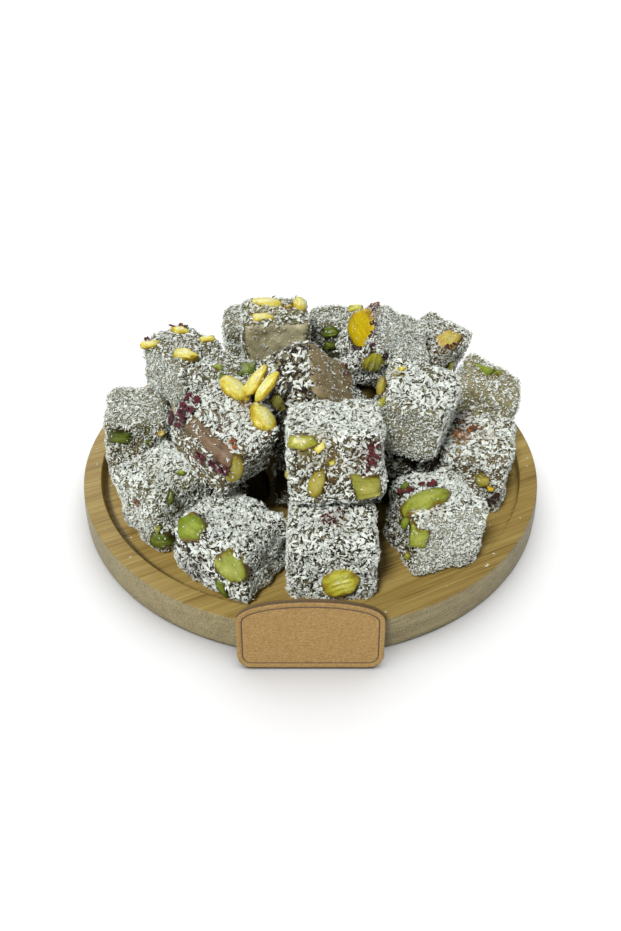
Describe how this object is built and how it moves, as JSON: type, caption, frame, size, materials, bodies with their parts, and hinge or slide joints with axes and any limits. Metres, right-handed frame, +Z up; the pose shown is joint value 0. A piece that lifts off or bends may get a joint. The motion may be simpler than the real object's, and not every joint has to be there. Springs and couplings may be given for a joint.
{
  "type": "turkish delight platter",
  "caption": "Pile of pistachio turkish delight cubes coated in desiccated coconut on a round bamboo plate with a low rim, a small blank wooden plaque leaning on its front.",
  "frame": {"origin": "centre of the plate's underside", "axes": "+Z up, the plaque and the front of the pile face -Y, +X to the right seen from the front"},
  "size_m": [0.199, 0.2043, 0.0782],
  "materials": {
    "lokum": "starch gel thickly coated in fine white desiccated coconut",
    "pistachio_green": "cut green pistachio kernel",
    "pistachio_yellow": "yellow pistachio kernel softened in syrup",
    "pistachio_tan": "pistachio kernel still in its dry skin",
    "bamboo": "turned and oiled laminated bamboo",
    "board": "thin fibreboard with a laser-engraved border"
  },
  "bodies": {
    "root": {"lokum_back_1": "lokum", "lokum_back_2": "lokum", "lokum_back_3": "lokum", "lokum_front_1": "lokum", "lokum_front_2": "lokum", "lokum_front_3": "lokum", "lokum_inner_01": "lokum", "lokum_inner_02": "lokum", "lokum_inner_03": "lokum", "lokum_inner_04": "lokum", "lokum_inner_05": "lokum", "lokum_inner_06": "lokum", "lokum_inner_07": "lokum", "lokum_inner_08": "lokum", "lokum_inner_09": "lokum", "lokum_inner_10": "lokum", "lokum_inner_11": "lokum", "lokum_left_1": "lokum", "lokum_left_2": "lokum", "lokum_middle_1": "lokum", "lokum_middle_2": "lokum", "lokum_middle_3": "lokum", "lokum_right_1": "lokum", "lokum_right_2": "lokum", "lokum_top_1": "lokum", "lokum_top_2": "lokum", "lokum_top_3": "lokum", "lokum_upper_1": "lokum", "lokum_upper_2": "lokum", "pistachio_back_2_a": "pistachio_green", "pistachio_back_2_b": "pistachio_yellow", "pistachio_back_3_a": "pistachio_tan", "pistachio_front_1_a": "pistachio_green", "pistachio_front_1_b": "pistachio_green", "pistachio_front_2_a": "pistachio_yellow", "pistachio_front_3_a": "pistachio_green", "pistachio_front_3_b": "pistachio_green", "pistachio_left_1_a": "pistachio_green", "pistachio_left_2_a": "pistachio_green", "pistachio_loose_1": "pistachio_yellow", "pistachio_loose_2": "pistachio_yellow", "pistachio_middle_1_a": "pistachio_yellow", "pistachio_middle_1_b": "pistachio_yellow", "pistachio_middle_1_c": "pistachio_yellow", "pistachio_middle_2_a": "pistachio_yellow", "pistachio_middle_2_b": "pistachio_yellow", "pistachio_middle_2_c": "pistachio_green", "pistachio_right_1_a": "pistachio_yellow", "pistachio_right_2_a": "pistachio_green", "pistachio_top_1_a": "pistachio_yellow", "pistachio_top_1_b": "pistachio_yellow", "pistachio_top_1_c": "pistachio_yellow", "pistachio_top_2_a": "pistachio_yellow", "pistachio_top_3_a": "pistachio_yellow", "pistachio_top_3_b": "pistachio_green", "pistachio_upper_1_a": "pistachio_yellow", "pistachio_upper_1_b": "pistachio_yellow", "pistachio_upper_2_a": "pistachio_green", "plaque": "board", "plate": "bamboo"}
  },
  "joints": []
}
